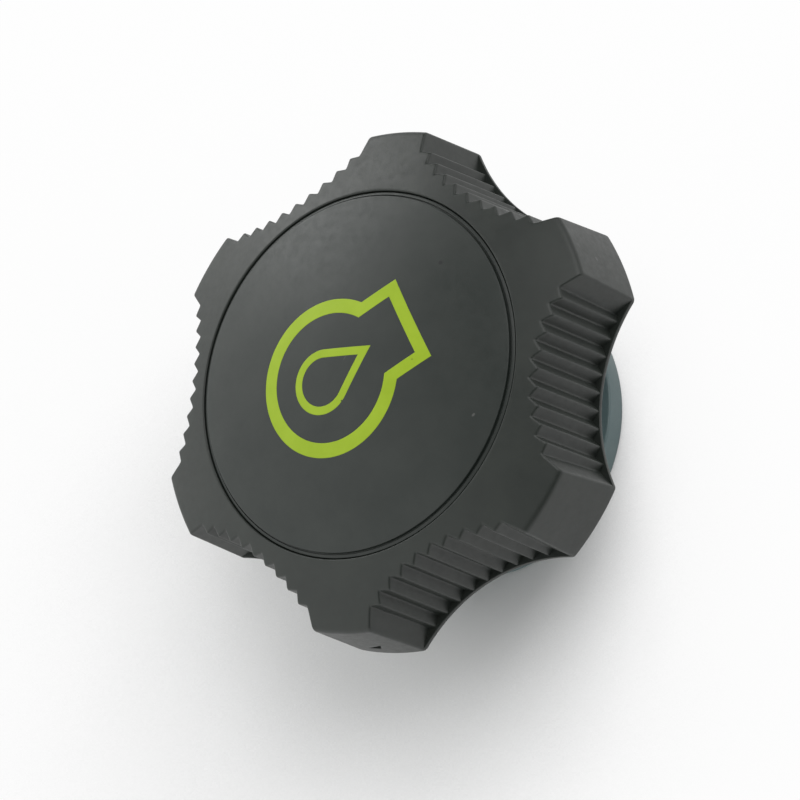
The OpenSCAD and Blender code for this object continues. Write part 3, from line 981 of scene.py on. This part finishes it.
floor_ray = floor_nodes.new("ShaderNodeLightPath")
floor_seen = floor_ray.outputs["Is Camera Ray"]
for ray in ("Is Glossy Ray", "Is Transmission Ray"):
    either = floor_nodes.new("ShaderNodeMath")
    either.operation = "MAXIMUM"
    floor_link(floor_seen, either.inputs[0])
    floor_link(floor_ray.outputs[ray], either.inputs[1])
    floor_seen = either.outputs[0]
# Painted shade: the white share falls off where an occlusion test leaning toward shade_way meets the cap, and
# the lit grey paper shows there.
floor_toward = floor_nodes.new("ShaderNodeCombineXYZ")
for axis, share in zip("XYZ", shade_way):
    floor_toward.inputs[axis].default_value = share
floor_shade_test = floor_nodes.new("ShaderNodeAmbientOcclusion")
floor_shade_test.samples = 8
floor_shade_test.inputs["Distance"].default_value = shade_reach
floor_white_outside_painted_shade = floor_nodes.new("ShaderNodeMapRange")
floor_white_outside_painted_shade.interpolation_type = "SMOOTHSTEP"
floor_white_outside_painted_shade.inputs["From Min"].default_value = shade_full
floor_white_outside_painted_shade.inputs["From Max"].default_value = shade_none
floor_white_outside_painted_shade.inputs["To Max"].default_value = white_share
floor_link(floor_toward.outputs[0], floor_shade_test.inputs["Normal"])
floor_link(floor_shade_test.outputs["AO"], floor_white_outside_painted_shade.inputs["Value"])
floor_part = floor_nodes.new("ShaderNodeMath")
floor_part.operation = "MULTIPLY"
floor_link(floor_seen, floor_part.inputs[0])
floor_link(floor_white_outside_painted_shade.outputs["Result"], floor_part.inputs[1])
floor_glow = floor_nodes.new("ShaderNodeEmission")
floor_mix = floor_nodes.new("ShaderNodeMixShader")
floor_link(floor_part.outputs[0], floor_mix.inputs["Fac"])
floor_link(floor_shader.outputs["BSDF"], floor_mix.inputs[1])
floor_link(floor_glow.outputs["Emission"], floor_mix.inputs[2])
floor_link(floor_mix.outputs["Shader"], floor_nodes["Material Output"].inputs["Surface"])
floor.data.materials.append(floor_finish)


def soft_lamp(name, at, size, power):
    """A square lamp of soft white light, aimed at the middle of the cap."""
    lamp = bpy.data.lights.new(name, "AREA")
    lamp.shape = "SQUARE"
    lamp.size = size
    lamp.energy = power
    held = bpy.data.objects.new(name, lamp)
    bpy.context.scene.collection.objects.link(held)
    aim = Vector(at) - Vector((0, 0, 0.03))
    held.matrix_world = Matrix.Translation(at) @ aim.to_track_quat("Z", "Y").to_matrix().to_4x4()


soft_lamp("key_lamp", (0.71, 0.64, 0.83), size=1.4, power=12.5)
soft_lamp("back_lamp", (-0.7, 0.7, 0.49), size=0.6, power=3.1)
room_way_bright = (-1, -0.75, 0)
room_dark = (0.05, 0.05, 0.052)
room_bright = (1.11, 1.125, 1.115)
room = bpy.data.worlds.new("room")
bpy.context.scene.world = room
room.use_nodes = True
room_nodes, room_link = room.node_tree.nodes, room.node_tree.links.new
room_way = room_nodes.new("ShaderNodeTexCoord")
room_lean = room_nodes.new("ShaderNodeVectorMath")
room_lean.operation = "DOT_PRODUCT"
room_lean.inputs[1].default_value = room_way_bright
room_side = room_nodes.new("ShaderNodeMapRange")
room_side.interpolation_type = "SMOOTHSTEP"
room_side.inputs["From Min"].default_value = -0.28
room_side.inputs["From Max"].default_value = 0.45
room_tone = room_nodes.new("ShaderNodeMix")
room_tone.data_type = "RGBA"
room_tone.inputs["A"].default_value = (*room_dark, 1)
room_tone.inputs["B"].default_value = (*room_bright, 1)
room_link(room_way.outputs["Generated"], room_lean.inputs[0])
room_link(room_lean.outputs["Value"], room_side.inputs["Value"])
room_link(room_side.outputs["Result"], room_tone.inputs["Factor"])
room_link(room_tone.outputs["Result"], room_nodes["Background"].inputs["Color"])
camera = bpy.data.objects.new("camera", bpy.data.cameras.new("camera"))
bpy.context.scene.collection.objects.link(camera)
camera.data.lens = 169.17
camera.data.sensor_width = 36
camera.data.clip_start = 0.01
camera.matrix_world = Matrix(
    (
        (0.82073986, 0.02606323, 0.57070727, 0.311162),
        (0.10981534, 0.973133, -0.20236787, -0.111541),
        (-0.56064844, 0.22876379, 0.7958269, 0.458859),
        (0, 0, 0, 1),
    )
)
bpy.context.scene.camera = camera
bpy.context.scene.view_settings.view_transform = "Standard"
